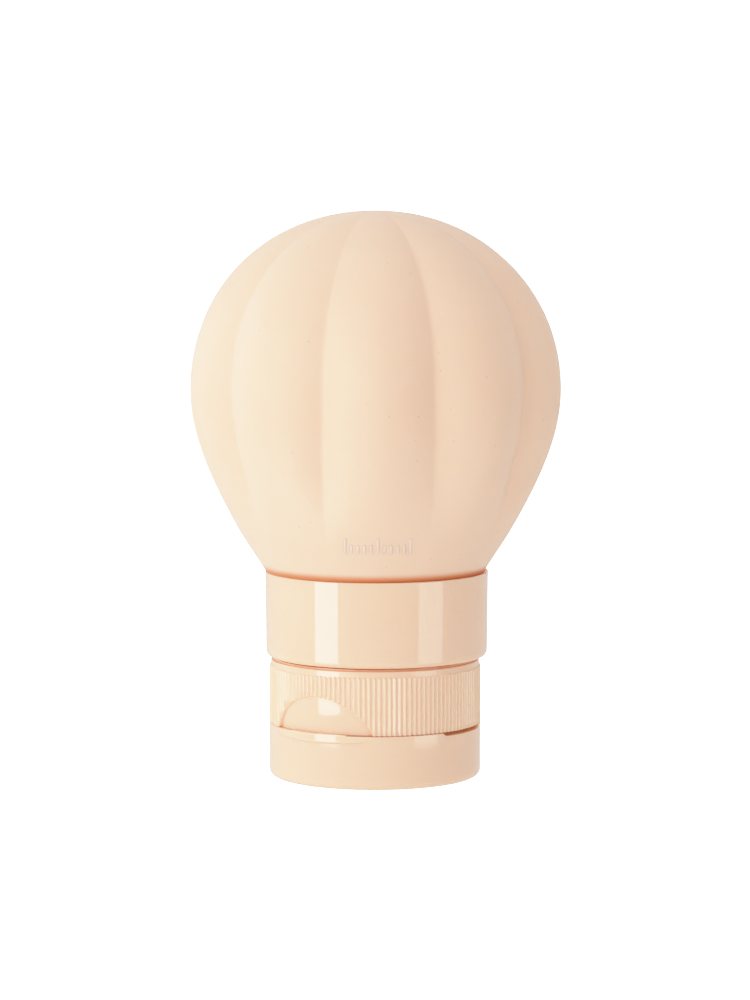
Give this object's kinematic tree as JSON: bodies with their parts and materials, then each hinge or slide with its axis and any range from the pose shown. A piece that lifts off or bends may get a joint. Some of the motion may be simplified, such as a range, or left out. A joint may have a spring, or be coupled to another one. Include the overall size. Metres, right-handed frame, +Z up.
{
  "type": "squeeze bottle",
  "caption": "Soft fluted bulb-shaped squeeze bottle with a collar and a ribbed screw cap with a hinged flip lid, standing upside down on the lid.",
  "frame": {"origin": "middle of the lid's flat end, which the bottle stands on", "axes": "+Z up along the bottle's axis to the top of the bulb, -Y towards the lid's thumb lip, the lid's hinge at +Y"},
  "size_m": [0.0588, 0.0604, 0.0906],
  "materials": {
    "peach_silicone": "matte moulded silicone",
    "peach_plastic": "gloss injection-moulded polypropylene",
    "clear_silicone": "milky translucent silicone",
    "foam_liner": "foamed polyethylene liner"
  },
  "bodies": {
    "bottle": {"silicone_bulb": "peach_silicone", "neck_insert": "peach_plastic", "collar_ring": "peach_plastic"},
    "gasket": {"cap_gasket": "foam_liner"},
    "cap": {"cap_base": "peach_plastic", "valve_membrane": "clear_silicone", "valve_retainer": "peach_plastic", "hinge_film": "peach_plastic", "hinge_strap_left": "peach_plastic", "hinge_strap_right": "peach_plastic"},
    "lid": {"flip_lid": "peach_plastic"}
  },
  "joints": [
    {"name": "cap_travel", "type": "slide", "parent": "bottle", "child": "gasket", "axis": [0, 0, -1], "range_m": [0, 0.00526]},
    {"name": "cap_turn", "type": "hinge", "parent": "gasket", "child": "cap", "pos_m": [0, 0, 0.014], "axis": [0, 0, -1], "range_deg": [0, 450]},
    {"name": "lid_hinge", "type": "hinge", "parent": "cap", "child": "lid", "pos_m": [0, 0.01635, 0.00874], "axis": [1, 0, 0], "range_deg": [0, 130], "deforming": ["hinge_film", "hinge_strap_left", "hinge_strap_right"]}
  ],
  "couplings": [
    {"joint": "cap_travel", "follows": "cap_turn", "m_per_rad": 0.00066845}
  ]
}
